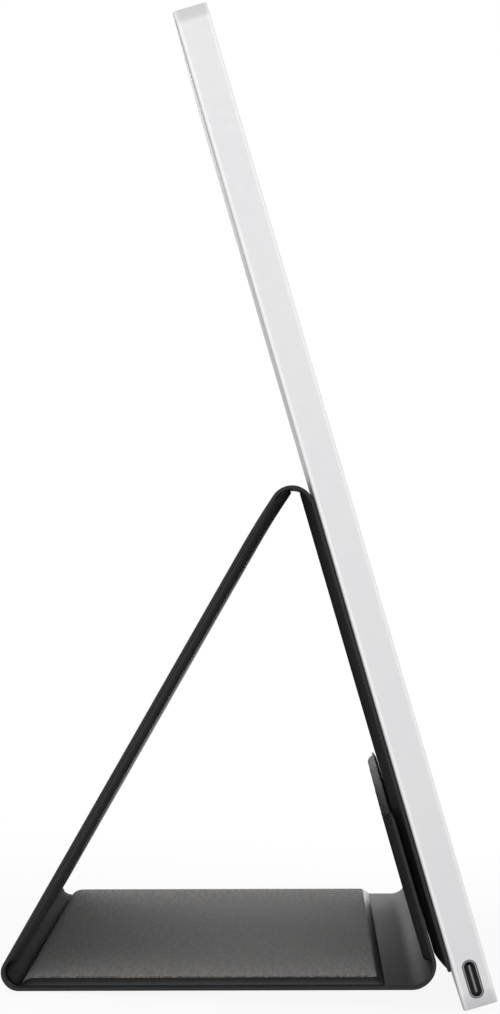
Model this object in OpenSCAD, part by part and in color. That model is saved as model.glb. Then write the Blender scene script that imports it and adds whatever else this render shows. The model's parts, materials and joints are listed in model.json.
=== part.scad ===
// Portable monitor standing on its folding cover.
// The cover is one long skin with four stiff panels: a mounting panel held flat on the monitor's
// back, a leg, a base and a flap. Folded, they make a triangle behind the screen.
// Frame: X along the width, -Y towards the viewer of the screen, Z up, table at Z = 0.

/* [Monitor] */
// Width of the monitor
body_w = 360; // [340:1:380]
// Height of the monitor from its bottom edge to its top edge
body_h = 243.3; // [238:0.1:250]
// Thickness of the monitor
body_t = 8.3; // [8.3:0.1:10]
// Corner radius seen from the front
corner_r = 4; // [3:0.5:8]
// Rounding of the back's edge
edge_r = 0.7; // [0.4:0.1:1.2]
// Rounding of the front rim
rim_r = 0.3; // [0.2:0.1:0.5]
// Dark border at each side of the picture
side_border = 7.65; // [7:0.05:14]
// Dark border above the picture
top_border = 8; // [7:0.5:10]
// Dark border below the picture
bottom_border = 19.9; // [18:0.1:24]

/* [Ports and key] */
// Height of the port centres above the bottom edge
port_up = 7; // [6.5:0.1:7.5]
// Long side of a port's metal shell
port_len = 9; // [8.9:0.1:9.2]
// Short side of a port's metal shell
port_h = 3.2; // [3.1:0.05:3.3]
// Height of the power key's centre above the bottom edge
key_up = 28; // [26:1:32]
// Length of the power key
key_len = 9; // [7:0.5:10]
// Travel of the power key
key_travel = 0.3; // [0.2:0.05:0.35]

/* [Cover] */
// How far the cover reaches past the monitor at each side
cover_past = 0; // [-2:0.1:2]
// Thickness of the outer skin
skin_t = 0.9; // [0.7:0.1:1.1]
// Thickness of a stiff panel above the skin
pad_t = 1.8; // [1.6:0.1:2.2]
// Outer radius of the fold at the peak
peak_r = 5.4; // [5:0.1:6.5]
// Outer radius of the fold at the rear of the base
rear_r = 4.2; // [3.8:0.1:5]
// Outer radius of the fold at the front of the base
front_r = 5.7; // [5:0.1:6.5]
// Length of the leg between its two folds
leg_len = 126.2; // [122:0.1:130]
// Length of the base between its two folds
base_len = 91.7; // [88:0.1:95]
// Length of the mounting panel below the peak fold
mount_len = 114.9; // [105:0.1:116]
// Length of the flap above the front fold
flap_len = 36; // [30:0.5:45]
// Distance of the front fold below the peak fold, along the monitor's back
front_drop = 110.8; // [108:0.1:113]
// Distance of the monitor's bottom edge below the peak fold
foot_drop = 124.75; // [123:0.05:127]

/* [Hidden] */
$fn = 48;

// Gaps that keep the cover's loose faces apart, and a seam where a skin meets a fold that moves
back_gap = 0.1;
flap_gap = 0.1;
seam = 0.02;
cover_w = body_w + 2 * cover_past;
panel_t = skin_t + pad_t;

// The stand is solved in a plane: x runs down the monitor's back from the peak fold, y away from it.
peak_c = [0, back_gap + peak_r];
front_c = [front_drop, back_gap + panel_t + flap_gap + front_r];
leg_span = norm([leg_len, peak_r - rear_r]);
base_span = norm([base_len, front_r - rear_r]);
span = norm(front_c - peak_c);
down = (front_c - peak_c) / span;
leg_part = (leg_span * leg_span - base_span * base_span + span * span) / (2 * span);
leg_rise = sqrt(leg_span * leg_span - leg_part * leg_part);
rear_c = peak_c + leg_part * down + leg_rise * [-down.y, down.x];

// The monitor leans back until its bottom edge and the rear fold both touch the table.
foot_x = rear_c.x - (foot_drop - edge_r);
foot_y = rear_c.y + edge_r;
tilt = atan2(foot_y, foot_x) - acos((edge_r - rear_r) / norm([foot_x, foot_y]));
peak_z = rear_r + rear_c.x * cos(tilt) + rear_c.y * sin(tilt);
function depth_of(p) = p.y * cos(tilt) - p.x * sin(tilt);
function height_of(p) = peak_z - p.x * cos(tilt) - p.y * sin(tilt);
rear_end = depth_of(rear_c) + rear_r;
front_end = depth_of([foot_drop - rim_r, rim_r - body_t]) - rim_r;
middle = (rear_end + front_end) / 2;
function stand_at(p) = [depth_of(p) - middle, height_of(p)];
peak = stand_at(peak_c);
rear = stand_at(rear_c);
front = stand_at(front_c);
foot = stand_at([foot_drop, 0]);

// Directions of the panels in the Y-Z plane, each read along the skin from the flap to the mount
function heading(v) = atan2(v.y, v.x);
leg_dir = heading(peak - rear) - heading([leg_len, peak_r - rear_r]);
base_dir = heading(rear - front) - heading([base_len, rear_r - front_r]);
mount_dir = 270 - tilt;
flap_dir = mount_dir - 360;

// Depths inside the monitor, measured from the back face towards the screen
back_t = 1;
wall_t = 2.4;
cavity_r = 0.8;
lip_t = 0.8;
glass_t = 0.8;
glass_z = body_t - 0.1 - glass_t;
adhesive_t = 0.2;
ledge_z = glass_z - adhesive_t;
cell_t = 1;
cell_z = glass_z - cell_t;
sheets_t = 0.4;
guide_t = 0.8;
reflector_t = 0.2;
guide_z = cell_z - sheets_t - guide_t;
reflector_z = guide_z - reflector_t;
tray_t = 0.3;
tray_z = reflector_z - tray_t;
mid_z = body_t / 2;
board_t = 0.8;
board_top = mid_z - port_h / 2;
board_z = board_top - board_t;

// The display module: the cell is a little larger than the picture
cell_w = body_w - 2 * side_border + 5;
cell_h = body_h - top_border - bottom_border + 6.5;
cell_y = bottom_border - 4;
tray_wall = 0.4;

// Boards on the back wall: [left edge, bottom edge, width, height]
port_board_w = 26;
port_board_h = 36;
board_side = body_w / 2 - wall_t - 0.3;
left_board = [-board_side, wall_t + 0.3, port_board_w, port_board_h];
right_board = [board_side - port_board_w, wall_t + 0.3, port_board_w, port_board_h];
middle_board = [-58, 16, 116, 44];
driver_rect = [-112, 3.2, 224, 6.6];
driver_z = guide_z;
driver_t = 0.6;
driver_post_xs = [-100, -36, 36, 100];
driver_post_r = 1.5;
flex_xs = [-88, -52, -16, 16, 52, 88];
flex_w = 20;
screw_in = 3.4;
screw_r = 0.8;
screw_head_r = 1.5;
boss_r = 2.2;

// Ports: the mouth of each shell sits just inside the side wall's face
port_sink = 0.15;
port_depth = 7.4;
shell_t = 0.3;
port_slack = 0.15;

// Power key
key_h = 1.8;
key_z = board_top + key_h / 2 + 0.1;
key_proud = 0.4;
key_slack = 0.1;
flange_t = 0.6;
switch_w = 3;

// Cover panels
edge_flat = 6.6;
edge_slope = 2.4;
plan_r = 3;
magnet_t = 1;
magnet_w = 22;
magnet_h = 8;
magnet_xs = [-132, -88, -44, 0, 44, 88, 132];
housing_magnet_downs = [30, 58];
flap_magnet_up = 20;
mount_magnet_downs = concat(housing_magnet_downs, [front_drop - flap_magnet_up]);
base_board_t = 1;

silver = [0.88, 0.88, 0.89];
leather = [0.07, 0.07, 0.075];
suede = [0.13, 0.12, 0.115];
steel = [0.6, 0.61, 0.63];
board_green = [0.05, 0.2, 0.12];

// Helpers

// From the monitor lying on its back, bottom edge at Y = 0, to the monitor standing
module standing() {
    translate([0, foot.x, foot.y]) rotate([90 - tilt, 0, 0]) children();
}

// From a panel lying along +Y with its skin below, to its place at a fold centre
module placed(centre, dir) {
    translate([0, centre.x, centre.y]) rotate([dir, 0, 0]) children();
}

// A 2-D section in the Y-Z plane, drawn out over a width
module across(width) {
    rotate([90, 0, 90]) linear_extrude(width, center = true) children();
}

module rounded_rect(w, h, r) {
    square([w - 2 * r, h], center = true);
    square([w, h - 2 * r], center = true);
    for (x = [-1, 1], y = [-1, 1])
        translate([x * (w / 2 - r), y * (h / 2 - r)]) circle(r);
}

// A plate inside the monitor, from z up, centred on the width
module plate(w, h, y, z, t, r = 0) {
    translate([0, y + h / 2, z]) linear_extrude(t) {
        if (r > 0) rounded_rect(w, h, r);
        else square([w, h], center = true);
    }
}

module board(rect, z, t) {
    translate([rect[0], rect[1], z]) cube([rect[2], rect[3], t]);
}

// Section of a slab's edge, with its own rounding at the back and at the front
module edge_section(reach, t, low_r, high_r) {
    translate([0, low_r]) square([reach, t - low_r - high_r]);
    square([reach - low_r, low_r]);
    translate([0, t - high_r]) square([reach - high_r, high_r]);
    translate([reach - low_r, low_r]) circle(low_r);
    translate([reach - high_r, t - high_r]) circle(high_r);
}

module slab_side(length, offset_out, reach, t, low_r, high_r) {
    translate([offset_out, 0, 0]) rotate([90, 0, 0]) linear_extrude(length, center = true)
        edge_section(reach, t, low_r, high_r);
}

module slab(w, h, t, r, low_r, high_r) {
    translate([0, h / 2, 0]) {
        translate([r - w / 2, r - h / 2, 0]) cube([w - 2 * r, h - 2 * r, t]);
        for (turn = [0, 180]) {
            rotate([0, 0, turn]) slab_side(h - 2 * r, w / 2 - r, r, t, low_r, high_r);
            rotate([0, 0, turn + 90]) slab_side(w - 2 * r, h / 2 - r, r, t, low_r, high_r);
            rotate([0, 0, turn]) translate([w / 2 - r, h / 2 - r, 0])
                rotate_extrude(angle = 90) edge_section(r, t, low_r, high_r);
            rotate([0, 0, turn]) translate([w / 2 - r, r - h / 2, 0]) rotate([0, 0, -90])
                rotate_extrude(angle = 90) edge_section(r, t, low_r, high_r);
        }
    }
}

// Port outline, its long side along Y and its short side along Z, drawn out along X
module port_bar(length, thick, depth) {
    rotate([0, 90, 0]) linear_extrude(depth) {
        square([thick, length - thick], center = true);
        for (y = [-1, 1]) translate([0, y * (length - thick) / 2]) circle(thick / 2);
    }
}

// side is -1 for the left edge and 1 for the right edge; children point inwards along +X
module at_port(side) {
    translate([side * (body_w / 2 - port_sink), port_up, mid_z])
        mirror([side > 0 ? 1 : 0, 0, 0]) children();
}

function screw_spots(rect) = [
    for (x = [rect[0] + screw_in, rect[0] + rect[2] - screw_in])
        [x, rect[1] + rect[3] - screw_in]
];
function middle_spots(rect) = [
    for (x = [rect[0] + screw_in, rect[0] + rect[2] - screw_in],
         y = [rect[1] + screw_in, rect[1] + rect[3] - screw_in]) [x, y]
];
all_screws = concat(screw_spots(left_board), screw_spots(right_board), middle_spots(middle_board));
driver_posts = [for (x = driver_post_xs) [x, driver_rect[1] + driver_rect[3] / 2]];

// Monitor

module rear_housing() {
    color(silver) standing() difference() {
        union() {
            difference() {
                slab(body_w, body_h, body_t, corner_r, edge_r, rim_r);
                plate(body_w - 2 * wall_t, body_h - 2 * wall_t, wall_t, back_t, body_t, cavity_r);
                plate(body_w - 2 * lip_t, body_h - 2 * lip_t, lip_t, ledge_z, body_t,
                      corner_r - lip_t);
            }
            for (p = all_screws) translate([p.x, p.y, back_t / 2])
                cylinder(r = boss_r, h = board_z - back_t / 2);
            for (p = driver_posts) translate([p.x, p.y, back_t / 2])
                cylinder(r = driver_post_r, h = driver_z - back_t / 2);
            rest_pads();
        }
        for (p = all_screws) translate([p.x, p.y, back_t - 0.3]) cylinder(r = screw_r, h = body_t);
        for (side = [-1, 1]) at_port(side) translate([-1, 0, 0])
            port_bar(port_len + 2 * port_slack, port_h + 2 * port_slack, wall_t + 2);
        translate([body_w / 2 - wall_t - 1, key_up, key_z])
            port_bar(key_len + 2 * key_slack, key_h + 2 * key_slack, wall_t + 2);
    }
}

// Low pads on the back wall under the far edges of the port boards
module rest_pads() {
    for (rect = [left_board, right_board])
        translate([rect[0] + rect[2] / 2 - 4, rect[1] + 1, back_t / 2])
            cube([8, 3, board_z - back_t / 2]);
}

module cover_glass() {
    color([0.02, 0.02, 0.025]) standing()
        plate(body_w - 2 * lip_t - 0.2, body_h - 2 * lip_t - 0.2, lip_t + 0.1, glass_z, glass_t,
              corner_r - lip_t - 0.1);
}

module glass_adhesive() {
    ring = wall_t - lip_t - 0.3;
    color([0.1, 0.1, 0.1]) standing() difference() {
        plate(body_w - 2 * lip_t - 0.4, body_h - 2 * lip_t - 0.4, lip_t + 0.2, ledge_z,
              adhesive_t, corner_r - lip_t - 0.2);
        plate(body_w - 2 * lip_t - 0.4 - 2 * ring, body_h - 2 * lip_t - 0.4 - 2 * ring,
              lip_t + 0.2 + ring, ledge_z - 1, adhesive_t + 2, 1);
    }
}

module lcd_cell() {
    color([0.05, 0.05, 0.07]) standing() plate(cell_w, cell_h, cell_y, cell_z, cell_t);
}

module optical_sheets() {
    inset = tray_wall + 0.3;
    color([0.95, 0.95, 0.92, 0.6]) standing()
        plate(cell_w - 2 * inset, cell_h - 2 * inset, cell_y + inset, cell_z - sheets_t, sheets_t);
}

led_y = 2.2;
module light_guide() {
    inset = tray_wall + 0.2;
    color([0.85, 0.92, 0.95, 0.5]) standing()
        plate(cell_w - 2 * inset, cell_h - inset - led_y, cell_y + led_y, guide_z, guide_t);
}

module reflector_sheet() {
    inset = tray_wall + 0.2;
    color([0.93, 0.93, 0.93]) standing()
        plate(cell_w - 2 * inset, cell_h - 2 * inset, cell_y + inset, reflector_z, reflector_t);
}

module panel_tray() {
    color(steel) standing() difference() {
        plate(cell_w, cell_h, cell_y, tray_z, cell_z - tray_z, 0.5);
        plate(cell_w - 2 * tray_wall, cell_h - 2 * tray_wall, cell_y + tray_wall,
              reflector_z, body_t);
    }
}

// A flex strip with a row of light-emitting blocks facing the light guide
module led_strip() {
    led_step = 8;
    led_w = 3.6;
    end_margin = 6;
    led_count = floor((cell_w - 2 * end_margin - led_step) / led_step);
    color([0.95, 0.9, 0.6]) standing() {
        plate(cell_w - 2 * end_margin, 0.4, cell_y + tray_wall + 0.2, guide_z, guide_t);
        for (i = [0:led_count - 1])
            translate([(i - (led_count - 1) / 2) * led_step - led_w / 2, cell_y + tray_wall + 0.6,
                       guide_z])
                cube([led_w, led_y - tray_wall - 0.6, guide_t]);
    }
}

// Film tabs from the cell's lower edge down to the driver board
module panel_flexes() {
    film = 0.15;
    fold_y = driver_rect[1] + driver_rect[3] - 2;
    top = cell_z + 0.3;
    color([0.55, 0.35, 0.12]) standing() for (x = flex_xs)
        translate([x, 0, 0]) across(flex_w) {
            translate([fold_y, top]) square([cell_y - fold_y, film]);
            translate([fold_y, driver_z + driver_t]) square([film, top - driver_z - driver_t + film]);
        }
}

module driver_board() {
    color(board_green) standing() board(driver_rect, driver_z, driver_t);
}

module drilled_board(rect, spots) {
    difference() {
        board(rect, board_z, board_t);
        for (p = spots) translate([p.x, p.y, 0]) cylinder(r = screw_r + 0.1, h = body_t);
    }
}

module main_board() {
    color(board_green) standing() drilled_board(middle_board, middle_spots(middle_board));
}

module left_port_board() {
    color(board_green) standing() drilled_board(left_board, screw_spots(left_board));
}

module right_port_board() {
    color(board_green) standing() drilled_board(right_board, screw_spots(right_board));
}

chip = [-9, 30, 18, 18];
module scaler_chip() {
    color([0.08, 0.08, 0.09]) standing() board(chip, board_top, 0.9);
}

can_t = 0.2;
can_top = tray_z - 0.2;
module thermal_pad() {
    color([0.55, 0.6, 0.75]) standing() board(chip, board_top + 0.9, can_top - can_t - board_top - 0.9);
}

module shield_can() {
    can = [chip[0] - 6, chip[1] - 6, chip[2] + 12, chip[3] + 12];
    color(steel) standing() difference() {
        board(can, board_top, can_top - board_top);
        translate([can[0] + can_t, can[1] + can_t, board_top - 1])
            cube([can[2] - 2 * can_t, can[3] - 2 * can_t, can_top - can_t - board_top + 1]);
    }
}

module usb_shell(side) {
    color([0.3, 0.3, 0.32]) standing() at_port(side) difference() {
        port_bar(port_len, port_h, port_depth);
        translate([-1, 0, 0])
            port_bar(port_len - 2 * shell_t, port_h - 2 * shell_t, port_depth - shell_t + 1);
    }
}

module usb_tongue(side) {
    color([0.12, 0.12, 0.13]) standing() at_port(side) {
        translate([0.9, -3.35, -0.35]) cube([port_depth - shell_t - 0.9, 6.7, 0.7]);
        translate([port_depth - shell_t - 2, 0, 0])
            port_bar(port_len - 2 * shell_t, port_h - 2 * shell_t, 2);
    }
}

module left_usb_shell() {
    usb_shell(-1);
}

module left_usb_tongue() {
    usb_tongue(-1);
}

module right_usb_shell() {
    usb_shell(1);
}

module right_usb_tongue() {
    usb_tongue(1);
}

// Flat cables on the back wall, each from the middle board to a port board, and one to the driver
module board_cables() {
    cable_t = 0.3;
    cable_w = 8;
    cable_y = 24;
    lap = 4;
    driver_cable_w = 16;
    driver_cable_x = -12;
    rise_y = driver_rect[1] + driver_rect[3] + 1.3;
    reach = -(left_board[0] + left_board[2]) + middle_board[0];
    color([0.9, 0.9, 0.86]) standing() {
        for (side = [-1, 1]) {
            from = side < 0 ? left_board : middle_board;
            translate([from[0] + from[2] - lap, cable_y, board_top])
                cube([reach + 2 * lap, cable_w, cable_t]);
        }
        translate([driver_cable_x, 0, 0]) across(driver_cable_w) {
            translate([driver_rect[1] + driver_rect[3], driver_z]) square([1.3 + cable_t, cable_t]);
            translate([rise_y, board_top]) square([cable_t, driver_z - board_top + cable_t]);
            translate([rise_y, board_top]) square([middle_board[1] + lap + 0.3 - rise_y, cable_t]);
        }
    }
}

module board_screws() {
    color(steel) standing() for (p = all_screws) translate([p.x, p.y, 0]) {
        translate([0, 0, back_t - 0.2]) cylinder(r = screw_r - 0.05, h = board_top - back_t + 0.2);
        translate([0, 0, board_top]) difference() {
            cylinder(r = screw_head_r, h = 0.6);
            for (turn = [0, 90]) translate([0, 0, 0.55]) rotate([0, 0, turn])
                cube([1.6, 0.3, 0.5], center = true);
        }
    }
}

module housing_magnets() {
    color(steel) standing() for (x = magnet_xs, down = housing_magnet_downs)
        translate([x - magnet_w / 2, foot_drop - down - magnet_h / 2, back_t])
            cube([magnet_w, magnet_h, magnet_t]);
}

// The key's flange stops it behind the wall; the switch stands in front of its plunger.
flange_x = body_w / 2 - wall_t - 0.05 - flange_t;
module power_key() {
    color([0.75, 0.75, 0.76]) standing() translate([0, key_up, key_z]) {
        translate([flange_x, 0, 0])
            port_bar(key_len, key_h, body_w / 2 + key_proud - flange_x);
        translate([flange_x, -key_len / 2 - 0.8, -key_h / 2]) cube([flange_t, key_len + 1.6, key_h]);
        translate([flange_x - 0.6, -0.8, -0.6]) cube([0.8, 1.6, 1.2]);
    }
}

module power_switch() {
    tip = flange_x - 0.6 - key_travel - 0.05;
    color(steel) standing() translate([tip - switch_w, key_up - switch_w / 2, board_top])
        cube([switch_w, switch_w, key_h]);
}

// Cover

// A strip of skin along a panel, its free end's corners rounded when round_end is 1 or -1
module skin_strip(start, length, r, round_end = 0) {
    translate([0, start, -r]) linear_extrude(skin_t) difference() {
        translate([-cover_w / 2, 0]) square([cover_w, length]);
        if (round_end != 0) for (x = [-1, 1])
            translate([x * cover_w / 2, round_end > 0 ? length : 0]) difference() {
                square(2 * plan_r, center = true);
                translate([-x * plan_r, -round_end * plan_r]) circle(plan_r);
                translate([-x * 2 * plan_r, 0]) square([2 * plan_r, 4 * plan_r], center = true);
                translate([0, -round_end * 2 * plan_r]) square([4 * plan_r, 2 * plan_r], center = true);
            }
    }
}

// A stiff panel: a length section as child, cut to sloped sides near the cover's two edges
module stiff_panel(low, t) {
    base = cover_w / 2 - edge_flat;
    intersection() {
        across(cover_w) children();
        rotate([90, 0, 0]) linear_extrude(3 * leg_len, center = true)
            polygon([[-base, low], [base, low], [base - edge_slope, low + t],
                     [edge_slope - base, low + t]]);
    }
}

// A panel's length section with sloped ends
module panel_section(from, to, low, t, slope_from, slope_to) {
    polygon([[from, low], [to, low], [to - slope_to, low + t], [from + slope_from, low + t]]);
}

// A panel's end that reaches on into the peak fold, cut back to the inside of the bent skin.
// The fold's centre is at the origin and the panel leaves it along +Y.
module peak_end() {
    nose = 0.5;
    inner = panel_t - peak_r;
    intersection() {
        circle(peak_r - skin_t - peak_clear, $fn = 96);
        union() {
            translate([-peak_reach + nose, -peak_r]) square([peak_reach, peak_r + inner]);
            translate([-peak_reach, -peak_r]) square([peak_reach, peak_r + inner - nose]);
            translate([nose - peak_reach, inner - nose]) circle(nose);
        }
    }
}

// Skin bent round a fold, from one panel's direction to the next
module fold_skin(centre, r, t, from_dir, turn) {
    translate([0, centre.x, centre.y]) rotate([90, 0, 90]) rotate([0, 0, from_dir - 90])
        rotate_extrude(angle = turn) translate([r - t, -cover_w / 2]) square([t, cover_w]);
}

// Magnets in rows across a panel, each row at a distance along it
module magnets_at(rows, low, grow = 0) {
    for (x = magnet_xs, y = rows) translate([x - magnet_w / 2 - grow, y - magnet_h / 2 - grow, low])
        cube([magnet_w + 2 * grow, magnet_h + 2 * grow, magnet_t + grow]);
}

mount_low = skin_t - peak_r;
leg_low = skin_t - rear_r;
base_low = skin_t - front_r;
end_slope = 4.6;
peak_reach = 2.3;
peak_clear = 0.12;
rear_clear = 0.4;

module mount_skin() {
    color(leather) placed(peak, mount_dir) skin_strip(seam, mount_len - seam, peak_r, 1);
}

module mount_board() {
    color(leather) placed(peak, mount_dir) difference() {
        stiff_panel(mount_low, pad_t)
            intersection() {
                union() {
                    translate([peak_clear, mount_low]) square([mount_len, pad_t]);
                    peak_end();
                }
                panel_section(-10, mount_len - 0.6, mount_low, pad_t, 0, end_slope - 0.6);
            }
        magnets_at(mount_magnet_downs, mount_low - 0.01, 0.05);
    }
}

module mount_magnets() {
    color(steel) placed(peak, mount_dir) magnets_at(mount_magnet_downs, mount_low);
}

module leg_skin() {
    color(leather) placed(rear, leg_dir) skin_strip(seam, leg_len - seam, rear_r);
}

module leg_board() {
    color(leather) placed(rear, leg_dir) stiff_panel(leg_low, pad_t) {
        translate([rear_clear, leg_low]) square([leg_len - rear_clear - peak_clear, pad_t]);
        translate([leg_len, peak_r - rear_r]) mirror([1, 0]) peak_end();
    }
}

module peak_fold_skin() {
    color(leather) fold_skin(peak, peak_r, skin_t, leg_dir, mount_dir - leg_dir);
}

module base_skin() {
    color(leather) placed(front, base_dir) skin_strip(seam, base_len - seam, front_r);
}

pad_from = 6.2;
pad_to = base_len - 0.3;
module base_board() {
    color([0.3, 0.3, 0.3]) placed(front, base_dir)
        translate([-cover_w / 2 + edge_flat + edge_slope, pad_from + 3, base_low])
            cube([cover_w - 2 * edge_flat - 2 * edge_slope, pad_to - pad_from - 6, base_board_t]);
}

module base_pad() {
    color(suede) placed(front, base_dir) difference() {
        stiff_panel(base_low, pad_t) panel_section(pad_from, pad_to, base_low, pad_t, 2.3, 3);
        translate([-cover_w / 2 + edge_flat + edge_slope, pad_from + 3, base_low - 1])
            cube([cover_w - 2 * edge_flat - 2 * edge_slope, pad_to - pad_from - 6, base_board_t + 1]);
    }
}

module rear_fold_skin() {
    color(leather) fold_skin(rear, rear_r, skin_t, base_dir, leg_dir - base_dir);
}

module rear_fold_lining() {
    color(suede) fold_skin(rear, rear_r - skin_t, 0.4, base_dir, leg_dir - base_dir);
}

module flap_skin() {
    color(leather) placed(front, flap_dir) skin_strip(-flap_len, flap_len, front_r, -1);
}

module flap_board() {
    bead = pad_t / 2;
    color(leather) placed(front, flap_dir) difference() {
        stiff_panel(base_low, pad_t) {
            panel_section(0.6 - flap_len, 0.6 - bead, base_low, pad_t, 0.9, 0);
            translate([0.6 - bead, base_low + bead]) circle(bead);
        }
        magnets_at([-flap_magnet_up], base_low - 0.01, 0.05);
    }
}

module flap_magnets() {
    color(steel) placed(front, flap_dir) magnets_at([-flap_magnet_up], base_low);
}

module front_fold_skin() {
    color(leather) fold_skin(front, front_r, skin_t, flap_dir, base_dir - flap_dir);
}

rear_housing();
cover_glass();
glass_adhesive();
lcd_cell();
optical_sheets();
light_guide();
reflector_sheet();
panel_tray();
led_strip();
panel_flexes();
driver_board();
main_board();
scaler_chip();
thermal_pad();
shield_can();
left_port_board();
right_port_board();
left_usb_shell();
left_usb_tongue();
right_usb_shell();
right_usb_tongue();
board_cables();
board_screws();
housing_magnets();
power_switch();
power_key();
mount_skin();
mount_board();
mount_magnets();
leg_skin();
leg_board();
peak_fold_skin();
base_skin();
base_board();
base_pad();
rear_fold_skin();
rear_fold_lining();
flap_skin();
flap_board();
flap_magnets();
front_fold_skin();
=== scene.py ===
"""Looks of a portable monitor that stands on its folding leather cover.

Lengths are in metres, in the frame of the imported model: X along the width, the screen faces -Y,
Z is up from the table. Everything that is placed here is placed from the nodes of that model.
"""

import json
import math

import bpy
import numpy as np
from mathutils import Matrix, Vector, noise


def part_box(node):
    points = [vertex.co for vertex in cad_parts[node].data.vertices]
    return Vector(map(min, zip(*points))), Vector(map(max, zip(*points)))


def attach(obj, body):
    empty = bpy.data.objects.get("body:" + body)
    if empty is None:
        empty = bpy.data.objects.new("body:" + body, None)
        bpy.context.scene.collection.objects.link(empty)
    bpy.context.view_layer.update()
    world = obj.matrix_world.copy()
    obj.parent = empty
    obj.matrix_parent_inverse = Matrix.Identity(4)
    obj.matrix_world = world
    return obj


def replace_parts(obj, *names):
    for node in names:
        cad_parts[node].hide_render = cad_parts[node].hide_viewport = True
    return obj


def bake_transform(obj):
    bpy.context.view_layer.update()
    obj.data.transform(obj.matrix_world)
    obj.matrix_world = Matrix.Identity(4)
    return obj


MM = 0.001
X = Vector((1, 0, 0))

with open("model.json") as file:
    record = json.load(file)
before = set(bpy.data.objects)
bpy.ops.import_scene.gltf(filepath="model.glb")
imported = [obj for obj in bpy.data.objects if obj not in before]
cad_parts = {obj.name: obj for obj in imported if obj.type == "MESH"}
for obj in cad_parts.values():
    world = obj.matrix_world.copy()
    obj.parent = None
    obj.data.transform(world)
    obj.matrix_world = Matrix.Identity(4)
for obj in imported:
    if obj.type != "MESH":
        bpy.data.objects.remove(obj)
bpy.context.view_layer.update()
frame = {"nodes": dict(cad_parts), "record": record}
nodes = frame["nodes"]


# Geometry read from the frame

LEG_BOW = 0.5 * MM
LEG_BOW_REACH = 14 * MM


class Strip:
    """A panel's place: outer face at inward 0, from its start along its length.

    bow is how far the panel's end bends inwards, over the stretch bow_reach before it."""

    def __init__(self, skin, board, along_hint, bow=0.0, bow_reach=1.0):
        self.bow, self.bow_reach = bow, bow_reach
        mesh = nodes[skin].data
        points = np.array([v.co for v in mesh.vertices])
        normal = max(mesh.polygons, key=lambda p: p.area).normal.copy()
        board_mid = sum(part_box(board), Vector()) / 2
        skin_mid = sum(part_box(skin), Vector()) / 2
        self.inward = normal if normal.dot(board_mid - skin_mid) > 0 else -normal
        self.inward.x = 0
        self.inward.normalize()
        self.along = X.cross(self.inward)
        if self.along.dot(Vector(along_hint)) < 0:
            self.along = -self.along
        low = (points @ np.array(self.inward)).min()
        start = (points @ np.array(self.along)).min()
        self.length = (points @ np.array(self.along)).max() - start
        self.thick = (points @ np.array(self.inward)).max() - low
        self.half = points[:, 0].max()
        self.origin = self.inward * low + self.along * start

    def point(self, x, y, z):
        bent = max(0.0, 1 + (min(y, self.length) - self.length) / self.bow_reach)
        past = max(0.0, y - self.length) * 2 / self.bow_reach
        z += self.bow * (bent**2 + past)
        return X * x + self.origin + self.along * y + self.inward * z

    def end(self):
        return self.point(0, self.length, 0)

    def end_inward(self):
        return (self.inward - self.along * (2 * self.bow / self.bow_reach)).normalized()

    def reach(self, node):
        """(start, end) of a node along the strip, and (low, high) of it across the thickness."""
        points = np.array([v.co for v in nodes[node].data.vertices])
        y = points @ np.array(self.along) - self.origin.dot(self.along)
        z = points @ np.array(self.inward) - self.origin.dot(self.inward)
        return y.min(), y.max(), z.min(), z.max()


class Fold:
    """The arc of skin between two outer-face points whose inward directions are known."""

    def __init__(self, first, first_inward, last, last_inward):
        self.turn = first_inward.angle(last_inward)
        self.radius = (first - last).length / 2 / math.sin(self.turn / 2)
        self.centre = first + first_inward * self.radius
        self.first, self.last = first_inward, last_inward

    def inward(self, share):
        a = self.turn * share
        n = self.first * math.sin(self.turn - a) + self.last * math.sin(a)
        return (n / math.sin(self.turn)).normalized()

    def point(self, share, z=0.0):
        return self.centre - self.inward(share) * (self.radius - z)


mount = Strip("mount_skin", "mount_board", (0, 0, -1))
leg = Strip("leg_skin", "leg_board", (0, 0, 1), bow=LEG_BOW, bow_reach=LEG_BOW_REACH)
base = Strip("base_skin", "base_pad", (0, 1, 0))
flap = Strip("flap_skin", "flap_board", (0, 0, -1))
screen = Strip("cover_glass", "lcd_cell", (0, 0, 1))

peak = Fold(leg.end(), leg.end_inward(), mount.origin, mount.inward)
rear = Fold(base.end(), base.inward, leg.origin, leg.inward)
front = Fold(flap.end(), flap.inward, base.origin, base.inward)


# Node materials


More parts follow.
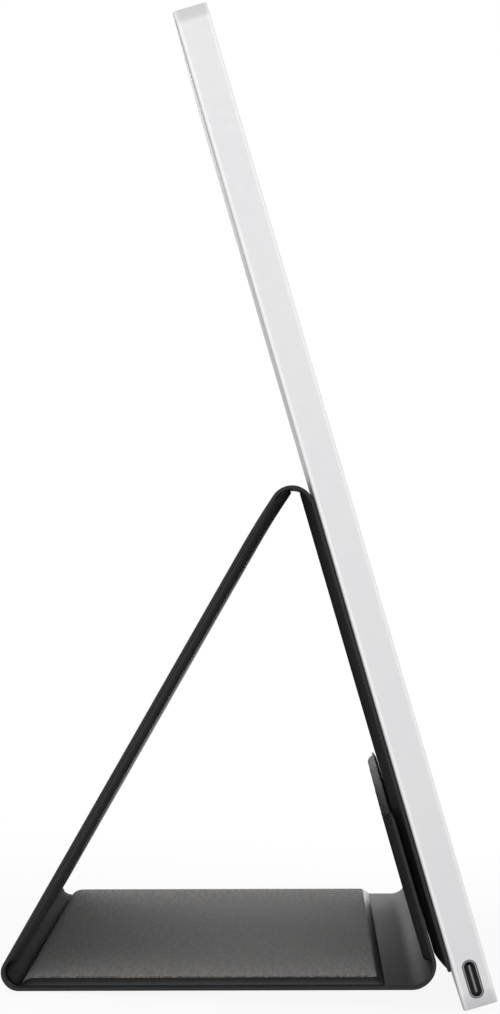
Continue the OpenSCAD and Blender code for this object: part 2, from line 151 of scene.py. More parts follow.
class Nodes:
    """A material's node tree, with one short call for each kind of step."""

    def __init__(self, name):
        self.material = bpy.data.materials.new(name)
        self.material.use_nodes = True
        self.tree = self.material.node_tree
        self.shader = self.tree.nodes["Principled BSDF"]
        self.place = self.add("ShaderNodeTexCoord").outputs["Object"]

    def add(self, kind, inputs=None, **settings):
        made = self.tree.nodes.new(kind)
        for key, value in settings.items():
            setattr(made, key, value)
        for key, value in (inputs or {}).items():
            self.put(made.inputs[key], value)
        return made

    def put(self, socket, value):
        if isinstance(value, bpy.types.NodeSocket):
            self.tree.links.new(value, socket)
        else:
            socket.default_value = value

    def stretched(self, scale, turn=(0, 0, 0)):
        made = self.add("ShaderNodeMapping", {"Vector": self.place, "Scale": scale})
        made.inputs["Rotation"].default_value = turn
        return made.outputs["Vector"]

    def noise(self, size, detail=3.0, rough=0.55, place=None):
        """Noise whose features are about size metres across."""
        made = self.add("ShaderNodeTexNoise", {
            "Vector": place or self.place, "Scale": 1 / size, "Detail": detail, "Roughness": rough})
        return made.outputs["Fac"]

    def cells(self, size, smooth):
        """Rounded cells about size metres across: 0 at their middles."""
        made = self.add("ShaderNodeTexVoronoi", {
            "Vector": self.place, "Scale": 1 / size, "Smoothness": smooth}, feature="SMOOTH_F1")
        return made.outputs["Distance"]

    def ramp(self, value, stops):
        made = self.add("ShaderNodeValToRGB", {"Fac": value})
        points = made.color_ramp.elements
        while len(points) < len(stops):
            points.new(0.5)
        for point, (at, colour) in zip(points, stops):
            point.position = at
            point.color = (*colour, 1)
        return made.outputs["Color"]

    def span(self, value, low, high, from_low=0.0, from_high=1.0):
        made = self.add("ShaderNodeMapRange", {
            "Value": value, "From Min": from_low, "From Max": from_high,
            "To Min": low, "To Max": high})
        return made.outputs["Result"]

    def maths(self, operation, a, b=0.0):
        made = self.add("ShaderNodeMath", operation=operation)
        self.put(made.inputs[0], a)
        self.put(made.inputs[1], b)
        return made.outputs["Value"]

    def mix(self, factor, a, b):
        made = self.add("ShaderNodeMix", data_type="RGBA")
        self.put(made.inputs["Factor"], factor)
        self.put(made.inputs["A"], a if isinstance(a, bpy.types.NodeSocket) else (*a, 1))
        self.put(made.inputs["B"], b if isinstance(b, bpy.types.NodeSocket) else (*b, 1))
        return made.outputs["Result"]

    def bump(self, height, depth, strength=1.0, under=None):
        made = self.add("ShaderNodeBump", {
            "Height": height, "Distance": depth, "Strength": strength})
        if under is not None:
            self.put(made.inputs["Normal"], under)
        return made.outputs["Normal"]

    def finish(self, **sockets):
        names = {"colour": "Base Color", "rough": "Roughness", "metal": "Metallic",
                 "specular": "Specular IOR Level", "sheen": "Sheen Weight",
                 "sheen_rough": "Sheen Roughness", "normal": "Normal"}
        for key, value in sockets.items():
            if key == "colour" and not isinstance(value, bpy.types.NodeSocket):
                value = (*value, 1)
            self.put(self.shader.inputs[names[key]], value)
        return self.material


def shades(colour, spread):
    """A darker and a lighter form of a colour."""
    return [tuple(c * (1 - spread) for c in colour), tuple(c * (1 + spread) for c in colour)]


def plain(name, colour, spread=0.08, rough=(0.4, 0.5), **more):
    """A moulded or plated surface with fine grain, mottled a little."""
    grain, depth = 0.4 * MM, 0.01 * MM
    n = Nodes(name)
    dark, light = shades(colour, spread)
    mottle = n.noise(grain * 8, 4)
    fine = n.noise(grain, 2)
    return n.finish(colour=n.ramp(mottle, [(0.3, dark), (0.7, light)]),
                    rough=n.span(fine, *rough), normal=n.bump(fine, depth), **more)


# Painted highlight for the front rim and a line beside the back, and painted shade for the back face
PAINTED_EDGE_HIGHLIGHT = (0.95, 0.95, 0.95)
PAINTED_BACK_SHADE = (0.46, 0.46, 0.47)
# Distances from the front rim, or from the back, between which each painted highlight or the painted
# back shade comes or goes
RIM_HIGHLIGHT_SPAN = (0.1 * MM, 0.9 * MM)
BACK_HIGHLIGHT_SPAN = (1.3 * MM, 0.8 * MM)
BACK_SHADE_SPAN = (0.45 * MM, 0.1 * MM)


def silver_finish():
    """Bead-blasted, silver-white metal: a fine sparkle and a slightly uneven tone.

    The front rim and a line beside the back are painted paler, as painted highlights, and the back
    face is painted greyer, as painted shade."""
    n = Nodes("silver_housing")
    across = n.add("ShaderNodeVectorMath", {0: n.place, 1: tuple(screen.inward)},
                   operation="DOT_PRODUCT").outputs["Value"]
    corners = [v.co.dot(screen.inward) for v in nodes["rear_housing"].data.vertices]
    rim, back = min(corners), max(corners)
    cloud = n.noise(60 * MM, 3)
    beads = n.cells(0.25 * MM, 0.3)
    fine = n.noise(0.12 * MM, 2)
    tone = n.ramp(cloud, [(0.3, (0.745, 0.75, 0.768)), (0.7, (0.785, 0.782, 0.79))])
    # Painted highlights at the rim and beside the back, and painted shade over the back face
    rim_highlight = n.span(across, 0.95, 0.0, rim + RIM_HIGHLIGHT_SPAN[0], rim + RIM_HIGHLIGHT_SPAN[1])
    back_line_highlight = n.span(across, 0.0, 0.8, back - BACK_HIGHLIGHT_SPAN[0], back - BACK_HIGHLIGHT_SPAN[1])
    back_shade = n.span(across, 0.0, 1.0, back - BACK_SHADE_SPAN[0], back - BACK_SHADE_SPAN[1])
    for share, colour in ((rim_highlight, PAINTED_EDGE_HIGHLIGHT), (back_line_highlight, PAINTED_EDGE_HIGHLIGHT), (back_shade, PAINTED_BACK_SHADE)):
        tone = n.mix(share, tone, colour)
    rough = n.span(n.noise(2 * MM, 4), 0.42, 0.52)
    pits = n.bump(beads, 0.012 * MM, 0.5)
    return n.finish(colour=tone, rough=rough, metal=0.25,
                    normal=n.bump(fine, 0.006 * MM, 0.5, under=pits))


def leather(name, dark, light, specular, rough=(0.59, 0.75), grain=0.75 * MM, relief_share=1.0):
    """Grained artificial leather or lining: rounded grains, pores, and paler worn places."""
    n = Nodes(name)
    warp = n.noise(3 * MM, 3)
    grains = n.cells(grain, 0.55)
    pores = n.cells(grain * 0.35, 0.2)
    worn = n.noise(22 * MM, 5, 0.6)
    tone = n.mix(n.span(worn, 0.15, 0.75, 0.3, 0.7), dark, light)
    deep = n.mix(n.span(grains, 0.0, 0.35, 0.25, 0.65), tone, shades(dark, 0.35)[0])
    height = n.maths("SUBTRACT", 1.0, grains)
    relief = n.bump(height, 0.05 * MM, 0.55 * relief_share)
    relief = n.bump(pores, 0.015 * MM, 0.4 * relief_share, under=relief)
    relief = n.bump(warp, 0.06 * MM, 0.35 * relief_share, under=relief)
    return n.finish(colour=deep, rough=n.span(worn, *rough), specular=specular, normal=relief)


def pad_finish():
    """Short brushed pile: a warm grey-brown nap with fine streaks along the width.

    It is painted a little lighter towards the middle of the width, as painted light where the stand
    shades the pad."""
    n = Nodes("pad_nap")
    along_width = n.stretched((0.07, 1, 1))
    streaks = n.noise(0.9 * MM, 4, 0.6, along_width)
    fibres = n.noise(0.3 * MM, 3, 0.6, n.stretched((0.3, 1, 1)))
    specks = n.noise(0.7 * MM, 2, 0.5)
    brushed = n.noise(30 * MM, 3, 0.55, n.stretched((0.5, 1, 1)))
    grey, brown = (0.15, 0.147, 0.147), (0.44, 0.365, 0.31)
    speck, laid_flat, painted_light_tone = (0.08, 0.077, 0.077), (0.22, 0.217, 0.217), (0.5, 0.48, 0.46)
    split = n.add("ShaderNodeSeparateXYZ", {"Vector": n.place})
    # Painted light: paler towards the middle of the width, where the stand around the pad shades it
    middle = n.span(n.maths("ABSOLUTE", split.outputs["X"]), 0.35, 0.0, 60 * MM, 150 * MM)
    tone = n.mix(n.span(streaks, 0.0, 1.0, 0.4, 0.6), grey, brown)
    tone = n.mix(n.span(specks, 0.0, 0.85, 0.48, 0.6), tone, speck)
    tone = n.mix(n.span(brushed, 0.0, 0.3, 0.35, 0.7), tone, laid_flat)
    tone = n.mix(middle, tone, painted_light_tone)
    relief = n.bump(fibres, 0.06 * MM, 0.5)
    relief = n.bump(streaks, 0.08 * MM, 0.4, under=relief)
    return n.finish(colour=tone, rough=n.span(streaks, 0.7, 0.88), specular=0.2, normal=relief,
                    sheen=0.25, sheen_rough=0.45)


def screen_finish():
    """Dark glass: a black printed border, and inside it the unlit picture area."""
    n = Nodes("screen_glass")
    lean = math.atan2(screen.along.y, screen.along.z)
    turned = n.stretched((1, 1, 1), (lean, 0, 0))
    split = n.add("ShaderNodeSeparateXYZ", {"Vector": turned})
    level = Matrix.Rotation(lean, 3, "X")
    cell = [level @ v.co for v in nodes["lcd_cell"].data.vertices]
    margin = 2.5 * MM
    half = max(p.x for p in cell) - margin
    low, high = min(p.z for p in cell) + margin, max(p.z for p in cell) - margin
    across = n.maths("LESS_THAN", n.maths("ABSOLUTE", split.outputs["X"]), half)
    above = n.maths("GREATER_THAN", split.outputs["Z"], low)
    below = n.maths("LESS_THAN", split.outputs["Z"], high)
    picture = n.maths("MULTIPLY", across, n.maths("MULTIPLY", above, below))
    smear = n.noise(45 * MM, 4, 0.6)
    colour = n.mix(picture, (0.004, 0.004, 0.0045), (0.0105, 0.0115, 0.014))
    rough = n.maths("ADD", n.span(smear, 0.05, 0.11), n.maths("MULTIPLY", picture, 0.05))
    return n.finish(colour=colour, rough=rough, specular=0.5,
                    normal=n.bump(n.noise(0.5 * MM, 2), 0.001 * MM, 0.3))


def board_finish():
    """Green solder mask over faint copper tracks."""
    n = Nodes("circuit_board")
    tracks = n.cells(3 * MM, 0.0)
    edge = n.span(tracks, 0.0, 1.0, 0.42, 0.5)
    colour = n.mix(edge, (0.006, 0.07, 0.03), (0.02, 0.13, 0.06))
    return n.finish(colour=colour, rough=0.35, normal=n.bump(edge, 0.03 * MM, 0.4))


finishes = {
    "silver_housing": silver_finish(),
    "silver_key": plain("silver_key", (0.68, 0.68, 0.7), 0.04, rough=(0.3, 0.4), metal=0.5),
    "screen_glass": screen_finish(),
    "black_adhesive": plain("black_adhesive", (0.012, 0.012, 0.012), rough=(0.6, 0.8)),
    "dark_cell": plain("dark_cell", (0.015, 0.016, 0.02), rough=(0.1, 0.2)),
    "diffuser_film": plain("diffuser_film", (0.78, 0.78, 0.77), 0.03, rough=(0.5, 0.6)),
    "clear_acrylic": plain("clear_acrylic", (0.75, 0.82, 0.84), 0.02, rough=(0.08, 0.15)),
    "thin_steel": plain("thin_steel", (0.5, 0.51, 0.53), 0.08, rough=(0.25, 0.4), metal=1.0),
    "led_package": plain("led_package", (0.8, 0.72, 0.35), 0.06, rough=(0.35, 0.5)),
    "amber_film": plain("amber_film", (0.4, 0.19, 0.04), 0.15, rough=(0.2, 0.3)),
    "circuit_board": board_finish(),
    "black_plastic": plain("black_plastic", (0.014, 0.014, 0.016), rough=(0.4, 0.55)),
    "pad_rubber": plain("pad_rubber", (0.33, 0.38, 0.55), rough=(0.7, 0.85)),
    "port_metal": plain("port_metal", (0.2, 0.2, 0.215), 0.15, rough=(0.3, 0.45), metal=0.85),
    "pale_film": plain("pale_film", (0.72, 0.72, 0.67), 0.04, rough=(0.35, 0.5)),
    "magnet_plate": plain("magnet_plate", (0.55, 0.55, 0.57), 0.05, rough=(0.2, 0.32), metal=1.0),
    "black_leather": leather("black_leather", (0.024, 0.024, 0.026), (0.04, 0.04, 0.0435), 0.25),
    "cover_lining": leather("cover_lining", (0.017, 0.017, 0.018), (0.028, 0.028, 0.0295), 0.2,
                            rough=(0.6, 0.75), grain=0.55 * MM, relief_share=0.12),
    "smooth_lining": leather("smooth_lining", (0.03, 0.03, 0.031), (0.04, 0.04, 0.041), 0.4,
                             rough=(0.42, 0.5), grain=0.55 * MM, relief_share=0.01),
    # A copy of the lining darkened as painted shade, for the gather deep in the rear fold
    "painted_shade_lining": leather("painted_shade_lining", (0.007, 0.007, 0.0075), (0.012, 0.012, 0.0125), 0.06,
                             rough=(0.75, 0.85), grain=0.55 * MM, relief_share=0.12),
    "stiff_board": plain("stiff_board", (0.14, 0.14, 0.14), rough=(0.7, 0.85)),
    "pad_suede": pad_finish(),
}

for entry in frame["record"]["subparts"]:
    slots = nodes[entry["node"]].data.materials
    slots.clear()
    slots.append(finishes[entry["material_slot"]])


# Mesh helpers

SHARP_FROM = math.radians(55)


def piece(name, points, faces, slot, finish=None):
    """A mesh object with the finish of the given slot, or the finish named."""
    mesh = bpy.data.meshes.new(name)
    mesh.from_pydata([tuple(p) for p in points], [], faces)
    mesh.validate()
    mesh.materials.append(finishes[finish or slot])
    mesh.shade_smooth()
    mesh.set_sharp_from_angle(angle=SHARP_FROM)
    made = bpy.data.objects.new(name, mesh)
    bpy.context.scene.collection.objects.link(made)
    return made


def waves(x, y, size, amount, seed):
    """Smooth unevenness of the given size across, up to about amount high."""
    return noise.noise(Vector((x / size, y / size, seed))) * amount


CROSS_STEPS = 72
EDGE_STEPS = 5


def section(half, low, high):
    """Closed loop round a sheet's section: outer face, round edge, inner face, round edge."""
    r = (high - low) / 2
    mid = (high + low) / 2
    flat = half - r
    xs = [flat * (2 * i / CROSS_STEPS - 1) for i in range(CROSS_STEPS + 1)]
    turns = [math.pi * i / (EDGE_STEPS + 1) for i in range(1, EDGE_STEPS + 1)]
    loop = [(x, low) for x in xs]
    loop += [(flat + r * math.sin(t), mid - r * math.cos(t)) for t in turns]
    loop += [(x, high) for x in reversed(xs)]
    loop += [(-flat - r * math.sin(t), mid + r * math.cos(t)) for t in turns]
    return loop


def swept(name, loops, slot, finish=None):
    """A closed skin over rings of points that all have the same count."""
    count = len(loops[0])
    points = [p for loop in loops for p in loop]
    faces = []
    for i in range(len(loops) - 1):
        for j in range(count):
            k = (j + 1) % count
            faces.append((i * count + j, i * count + k, (i + 1) * count + k, (i + 1) * count + j))
    faces.append(tuple(reversed(range(count))))
    last = (len(loops) - 1) * count
    faces.append(tuple(range(last, last + count)))
    return piece(name, points, faces, slot, finish)


# Cover: skins of the flat panels

PLAN_R = 3 * MM
FREE_STEPS = 8
SKIN_STEPS = 40
TIP = 0.004 * MM
CORNER_CLEAR = 1.3
LIFT_REACH = 2.1 * MM
LIFT_POWER = 1.5
LIFT_MOST = 0.6
EDGE_SHRINK = 0.9
FLAP_LIFT = 0.5 * MM


def free_end(strip, gap, lift):
    """(half width, low, high) of a skin at a distance from its free end.

    The plan corners are round, the edge is round, and lift is how far the outer face draws in."""
    half = strip.half
    if gap < PLAN_R:
        half -= PLAN_R - math.sqrt(max(PLAN_R**2 - (PLAN_R - gap) ** 2, 0))
    low, high = 0.0, strip.thick
    draw = max(0.0, 1 - gap / LIFT_REACH) ** LIFT_POWER * lift
    low += min(draw, strip.thick * LIFT_MOST)
    r = (high - low) / 2
    if gap < r:
        shrink = r - math.sqrt(max(r**2 - (r - gap) ** 2, 0))
        low, high = low + shrink * EDGE_SHRINK, high - shrink * EDGE_SHRINK
    return half, low, high


def panel_skin(name, strip, body, free=None, lift=0.0):
    """The skin of one panel. free is 0 or 1 where its start or its end is a free edge."""
    steps = [strip.length * i / SKIN_STEPS for i in range(SKIN_STEPS + 1)]
    if free is not None:
        near = [PLAN_R * (1 - math.cos(math.pi / 2 * i / FREE_STEPS)) for i in range(FREE_STEPS)]
        near.append(PLAN_R)
        near[0] = TIP
        clear = PLAN_R * CORNER_CLEAR
        steps = [s for s in steps if (s if free == 0 else strip.length - s) > clear]
        steps += near if free == 0 else [strip.length - g for g in near]
        steps.sort()
    loops = []
    for y in steps:
        half, low, high = strip.half, 0.0, strip.thick
        if free is not None:
            half, low, high = free_end(strip, y if free == 0 else strip.length - y, lift)
        loops.append([strip.point(x, y, z) for x, z in section(half, low, high)])
    made = swept(name, loops, "black_leather")
    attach(made, body)
    return made


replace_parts(panel_skin("mount_leather", mount, "mount_panel", free=1), "mount_skin")
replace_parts(panel_skin("leg_leather", leg, "stand_leg"), "leg_skin")
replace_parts(panel_skin("base_leather", base, "base"), "base_skin")
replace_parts(panel_skin("flap_leather", flap, "flap", free=0, lift=FLAP_LIFT), "flap_skin")


# Cover: stiff panels wrapped in lining

SIDE = 2.4 * MM
SIDE_POWER = 1.35
FOLD_CLEAR = 0.06 * MM
NOSE = 0.55 * MM
LYING_LIFT = 0.03 * MM
GRID = (5 * MM, 4 * MM)
UNEVEN_SIZE = 34 * MM
MEETING_SIZE = 30 * MM
MEETING_HEIGHT = 0.12 * MM
MEETING_REACH = 60 * MM
BASE_SLOPES = (2.4 * MM, 3.2 * MM)
BASE_POWERS = (1.5, 1.8)


def rounded(u, power):
    """0 at an outline, 1 from one slope width inwards, with a round shoulder."""
    u = min(max(u, 0.0), 1.0)
    return (1 - (1 - u) ** power) ** (1 / power)


def spaced(low, high, slope_low, slope_high, step):
    """Grid values that crowd where the surface bends, near both ends."""
    shares = (0, 0.04, 0.12, 0.25, 0.42, 0.62, 0.82, 1.0, 1.3)
    near = [low + slope_low * s for s in shares]
    far = [high - slope_high * s for s in reversed(shares)]
    count = max(2, round((far[0] - near[-1]) / step))
    middle = [near[-1] + (far[0] - near[-1]) * i / count for i in range(1, count)]
    return near + middle + far


def padded_panel(name, strip, node, body, slopes, powers, uneven, fold=None, finish=None):
    """A stiff panel under its lining, as a height over the skin that dies away at its outline.

    slopes are the widths of its sloped edges at its start and its end, and powers their roundness.
    uneven(x, z) raises the inner face a little. An end that reaches into a fold stays inside the
    bent skin."""
    start, end, low, high = strip.reach(node)
    if fold:
        start, end = (start - NOSE, end) if start < 0 else (start, end + NOSE)
    half = max(abs(v.co.x) for v in nodes[node].data.vertices)
    xs = spaced(-half, half, SIDE, SIDE, GRID[0])
    ys = spaced(start, end, slopes[0], slopes[1], GRID[1])
    points, faces = [], []
    for y in ys:
        past = max(0.0, -y, y - strip.length)
        under = low
        if fold and past > 0:
            inside = fold.radius - strip.thick - FOLD_CLEAR
            under = fold.radius - math.sqrt(inside**2 - past**2)
        lengthwise = rounded((y - start) / slopes[0], powers[0])
        lengthwise *= rounded((end - y) / slopes[1], powers[1])
        for x in xs:
            height = lengthwise * rounded((half - abs(x)) / SIDE, SIDE_POWER)
            top = strip.point(x, y, high)
            points.append(strip.point(x, y, under + height * (high - under + uneven(x, top.z))))
    wide = len(xs)
    last = (len(ys) - 1) * wide
    for j in range(len(ys) - 1):
        row = j * wide
        faces += [(row + i, row + i + 1, row + wide + i + 1, row + wide + i) for i in range(wide - 1)]
        if 0 < j < len(ys) - 2:
            faces.append((row, row + wide, row + 2 * wide - 1, row + wide - 1))
    faces.append((*range(wide - 1, -1, -1), wide, 2 * wide - 1))
    faces.append((*range(last, last + wide), last - 1, last - wide))
    made = piece(name, points, faces, "cover_lining", finish)
    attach(made, body)
    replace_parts(made, node)


def level(amount, seed):
    """Slight unevenness of a lined face, up to about amount either way."""
    return lambda x, z: waves(x, z, UNEVEN_SIZE, amount, seed)


def meeting(side, z_mid):
    """Unevenness of two faces that lie on each other: what one gains, the other gives."""
    def height(x, z):
        shared = waves(x, z, MEETING_SIZE, MEETING_HEIGHT, 3.1)
        near = max(0.0, 1 - abs(z - z_mid) / MEETING_REACH)
        return side * shared * min(1.0, near * 2) + LYING_LIFT
    return height


flap_mid = (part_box("flap_board")[0].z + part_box("flap_board")[1].z) / 2
base_lay = level(0.04 * MM, 5.9)
padded_panel("mount_lining", mount, "mount_board", "mount_panel",
             (0.75 * MM, 4.4 * MM), (2.6, 1.15), meeting(1, flap_mid), peak)
padded_panel("leg_lining", leg, "leg_board", "stand_leg",
             (1.2 * MM, 0.75 * MM), (1.6, 2.6), lambda x, z: 0.0, peak, "smooth_lining")
padded_panel("flap_lining", flap, "flap_board", "flap",
             (1.6 * MM, 1.0 * MM), (1.7, 2.0), meeting(-1, flap_mid))
padded_panel("base_lining", base, "base_pad", "base",
             BASE_SLOPES, BASE_POWERS, base_lay, finish="smooth_lining")


def nap_sheet():
    """The brushed top of the base's pad: a thin pile that thins out at the pad's shoulders."""
    start, end, low, high = base.reach("base_pad")
    inset = SIDE * 0.75
    half = max(abs(v.co.x) for v in nodes["base_pad"].data.vertices) - inset
    first, last = start + 1.9 * MM, end - 0.2 * MM
    pile, sunk, sheet = 0.16 * MM, 0.03 * MM, 0.12 * MM
    edge, edge_power = 1.2 * MM, 1.6
    xs = spaced(-half, half, edge, edge, 5 * MM)
    ys = spaced(first, last, edge, 2.2 * MM, 3 * MM)
    points = []
    for y in ys:
        fall = rounded((end - y) / BASE_SLOPES[1], BASE_POWERS[1])
        fall *= rounded((y - start) / BASE_SLOPES[0], BASE_POWERS[0])
        rise = rounded((y - first) / edge, edge_power) * rounded((last - y) / edge, edge_power)
        for x in xs:
            side = rounded((half + inset - abs(x)) / SIDE, SIDE_POWER)
            over = rise * rounded((half - abs(x)) / edge, edge_power) * pile
            top = base.point(x, y, high)
            z = low + fall * side * (high - low + base_lay(x, top.z)) + over - sunk
            points.append(base.point(x, y, z))
    wide = len(xs)
    faces = [(j * wide + i, j * wide + i + 1, (j + 1) * wide + i + 1, (j + 1) * wide + i)
             for j in range(len(ys) - 1) for i in range(wide - 1)]
    made = piece("base_nap", points, faces, "pad_suede")
    solid = made.modifiers.new("pile", "SOLIDIFY")
    solid.thickness = sheet
    solid.offset = -1
    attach(made, "base")
    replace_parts(made, "base_pad")


nap_sheet()


# Cover: skin bent round the folds

# Size of a wave or ripple across, and the length of noise that a fold's arc is spread over
BROAD = (9 * MM, 30 * MM)
FINE = (2.6 * MM, 14 * MM)
FINE_SHARE = 0.7
FINE_STRETCH = 0.25
# Share of a crease's height by which it is moved inwards, so that little of it stands proud
KEEP_IN = 0.6


def fold_piece(name, fold, depth_low, depth_high, half, slot, crease, seed, steps=20, finish=None):
    """Skin round a fold, with soft creases that fade at both ends: short ripples and long waves."""
    loops = []
    for i in range(steps + 1):
        share = i / steps
        fade = math.sin(math.pi * share) ** 2
        loop = []
        for x, z in section(half, depth_low, depth_high):
            broad = waves(x, share * BROAD[1], BROAD[0], crease, seed)
            fine = waves(x * FINE_STRETCH, share * FINE[1], FINE[0], crease * FINE_SHARE, seed + 4)
            p = fold.point(share, z + fade * (broad + fine + crease * KEEP_IN))
            loop.append(Vector((x, p.y, p.z)))
        loops.append(loop)
    return swept(name, loops, slot, finish)


def bent(made, fold, first_body, last_body, *stands_for):
    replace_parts(made, *stands_for)
    fold.point(0)
    fold.point(1)
    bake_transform(made)


skin = leg.thick
bent(fold_piece("peak_fold_leather", peak, 0, skin, leg.half, "black_leather", 0.1 * MM, 2.0),
     peak, "stand_leg", "mount_panel", "peak_fold_skin")
bent(fold_piece("rear_fold_leather", rear, 0, skin, leg.half, "black_leather", 0.06 * MM, 9.0),
     rear, "base", "stand_leg", "rear_fold_skin")
bent(fold_piece("front_fold_leather", front, 0, skin, leg.half, "black_leather", 0.08 * MM, 17.0),
     front, "flap", "base", "front_fold_skin")


def crumpled_lining():
    """Thin lining gathered inside the rear fold, between the leg's panel and the base's pad, coloured
    darker as painted shade.
    """
    depth, inset, ripple = 0.3 * MM, 6 * MM, 0.3 * MM
    made = fold_piece("rear_fold_gather", rear, skin, skin + depth, leg.half - inset,
                      "cover_lining", ripple, 23.0, steps=26, finish="painted_shade_lining")
    bent(made, rear, "base", "stand_leg", "rear_fold_lining")


crumpled_lining()


# Ports: contacts on the tongues and the plate edge between them

BOX_FACES = [(0, 1, 3, 2), (4, 6, 7, 5), (0, 4, 5, 1), (2, 3, 7, 6), (0, 2, 6, 4), (1, 5, 7, 3)]
CONTACTS = 12
CONTACT_PITCH = 0.5 * MM
CONTACT_HALF_W = 0.11 * MM
CONTACT_DEPTHS = (0.5 * MM, 3.6 * MM)
CONTACT_HEIGHTS = (0.34 * MM, 0.37 * MM)
NOSE_DEPTHS = (-0.02 * MM, 0.3 * MM)
NOSE_HALF_W = 3.2 * MM
NOSE_HALF_H = 0.16 * MM


def port_trim(side, node):
    """Contacts and plate edge of one port. side is -1 for the left port and 1 for the right."""
    centre = sum(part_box(node), Vector()) / 2
    outer = max(v.co.x * side for v in nodes[node].data.vertices)
    name = "left" if side < 0 else "right"

    def block(depths, widths, heights):
        """Corners of a box: depths from the tongue's end, widths along the port's long side."""
        corners = []
        for dx in depths:
            for dy in widths:
                for dz in heights:
                    p = centre + screen.along * dy + screen.inward * dz
                    corners.append(Vector((side * (outer - dx), p.y, p.z)))
        return corners

    contacts, faces = [], []
    for face in (-1, 1):
        for i in range(CONTACTS):
            at = (i - (CONTACTS - 1) / 2) * CONTACT_PITCH
            faces += [tuple(len(contacts) + k for k in f) for f in BOX_FACES]
            contacts += block(CONTACT_DEPTHS, (at - CONTACT_HALF_W, at + CONTACT_HALF_W),
                              [face * h for h in CONTACT_HEIGHTS])
    made = piece(f"port_contacts_{name}", contacts, faces, "led_package")
    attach(made, "monitor")
    nose = block(NOSE_DEPTHS, (-NOSE_HALF_W, NOSE_HALF_W), (-NOSE_HALF_H, NOSE_HALF_H))
    made = piece(f"port_nose_{name}", nose, BOX_FACES, "port_metal")
    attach(made, "monitor")


port_trim(-1, "left_usb_tongue")
port_trim(1, "right_usb_tongue")


# Camera: the photograph looks along the width, a little above the table, and is rolled

ROLL = math.radians(2.67)
CAMERA_AT = Vector((-1.70, -0.0064, 0.1174))
FOCAL_PX = 6524
LONG_SIDE_PX = 1014
SHIFT_PX = (-49.5, -7.0)
SENSOR_MM = 36
CLIP = (0.05, 50)


def make_camera():
    data = bpy.data.cameras.new("camera")
    data.sensor_width = SENSOR_MM
    data.lens = FOCAL_PX / LONG_SIDE_PX * SENSOR_MM
    data.shift_x = SHIFT_PX[0] / LONG_SIDE_PX
    data.shift_y = SHIFT_PX[1] / LONG_SIDE_PX
    data.clip_start, data.clip_end = CLIP
    right = Vector((0, -math.cos(ROLL), math.sin(ROLL)))
    up = Vector((0, math.sin(ROLL), math.cos(ROLL)))
    turn = Matrix((right, up, -X)).transposed().to_4x4()
    made = bpy.data.objects.new("camera", data)
    made.matrix_world = Matrix.Translation(CAMERA_AT) @ turn
    bpy.context.scene.collection.objects.link(made)
    bpy.context.scene.camera = made


make_camera()


# Floor and light

FLOOR_REACH = 12
NEAR_WHITE = 0.91
WHITE_FROM, WHITE_TO = 0.16, 0.6
ROOM_LIGHT = 0.52

# Name, place, aim, size and power of each lamp
LAMPS = (
    ("near_light", (-1.9, 0.05, 0.5), (0, 0, 0.05), (1.2, 0.5), 6.8),
    ("far_light", (1.9, 0.05, 0.45), (0, 0, 0.05), (1.2, 0.5), 7),
    ("back_light", (0.3, 1.6, 1.2), (0, 0, 0.1), (1.0, 0.8), 4),
)


def seen_directly(tree):
    """1 for rays that show the surroundings themselves, 0 for rays that light the object."""
    path = tree.nodes.new("ShaderNodeLightPath")
    total = path.outputs["Is Camera Ray"]
    for kind in ("Is Glossy Ray", "Is Transmission Ray"):
        step = tree.nodes.new("ShaderNodeMath")
        step.operation = "MAXIMUM"
        tree.links.new(total, step.inputs[0])
        tree.links.new(path.outputs[kind], step.inputs[1])
        total = step.outputs["Value"]
    return total


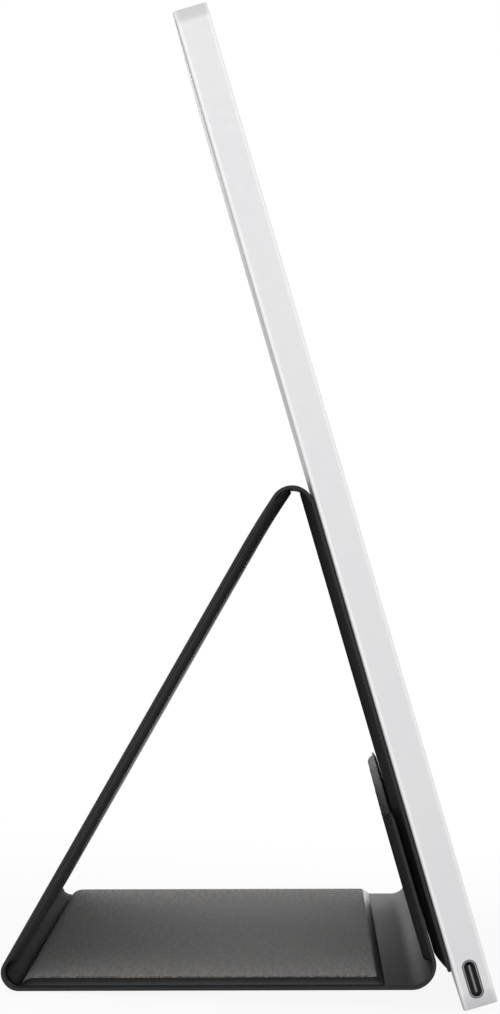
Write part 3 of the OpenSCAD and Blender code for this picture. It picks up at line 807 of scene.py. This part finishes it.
def make_floor():
    """A pale table that reads as white, and keeps a faint shadow of the object near it."""
    corners = [(x * FLOOR_REACH, y * FLOOR_REACH, 0) for x, y in ((-1, -1), (1, -1), (1, 1), (-1, 1))]
    mesh = bpy.data.meshes.new("floor")
    mesh.from_pydata(corners, [], [(0, 1, 2, 3)])
    made = bpy.data.objects.new("floor", mesh)
    bpy.context.scene.collection.objects.link(made)
    n = Nodes("floor_paint")
    n.finish(colour=(0.9, 0.9, 0.9), rough=0.8, specular=0.1)
    distance = n.add("ShaderNodeVectorMath", {0: n.place}, operation="LENGTH").outputs["Value"]
    far = n.add("ShaderNodeMapRange", {
        "Value": distance, "From Min": WHITE_FROM, "From Max": WHITE_TO,
        "To Min": NEAR_WHITE, "To Max": 1.0}, interpolation_type="SMOOTHSTEP").outputs["Result"]
    share = n.maths("MULTIPLY", far, seen_directly(n.tree))
    glow = n.add("ShaderNodeEmission", {"Color": (1, 1, 1, 1), "Strength": 1.0})
    blend = n.add("ShaderNodeMixShader", {"Fac": share, 1: n.shader.outputs["BSDF"],
                                          2: glow.outputs["Emission"]})
    out = n.tree.nodes["Material Output"]
    n.tree.links.new(blend.outputs["Shader"], out.inputs["Surface"])
    mesh.materials.append(n.material)


def make_light(name, at, target, size, power):
    data = bpy.data.lights.new(name, "AREA")
    data.shape = "RECTANGLE"
    data.size, data.size_y = size
    data.energy = power
    made = bpy.data.objects.new(name, data)
    made.location = at
    made.rotation_mode = "QUATERNION"
    made.rotation_quaternion = (Vector(target) - Vector(at)).to_track_quat("-Z", "Y")
    bpy.context.scene.collection.objects.link(made)


def make_world():
    """White where it is seen or mirrored, and dimmer as the light of the room."""
    world = bpy.data.worlds.new("studio")
    world.use_nodes = True
    tree = world.node_tree
    room = tree.nodes["Background"]
    room.inputs["Color"].default_value = (1, 1, 1, 1)
    room.inputs["Strength"].default_value = ROOM_LIGHT
    white = tree.nodes.new("ShaderNodeBackground")
    white.inputs["Color"].default_value = (1, 1, 1, 1)
    white.inputs["Strength"].default_value = 1.0
    blend = tree.nodes.new("ShaderNodeMixShader")
    tree.links.new(seen_directly(tree), blend.inputs["Fac"])
    tree.links.new(room.outputs["Background"], blend.inputs[1])
    tree.links.new(white.outputs["Background"], blend.inputs[2])
    tree.links.new(blend.outputs["Shader"], tree.nodes["World Output"].inputs["Surface"])
    bpy.context.scene.world = world


make_floor()
make_world()
for lamp in LAMPS:
    make_light(*lamp)

bpy.context.scene.view_settings.view_transform = "Standard"
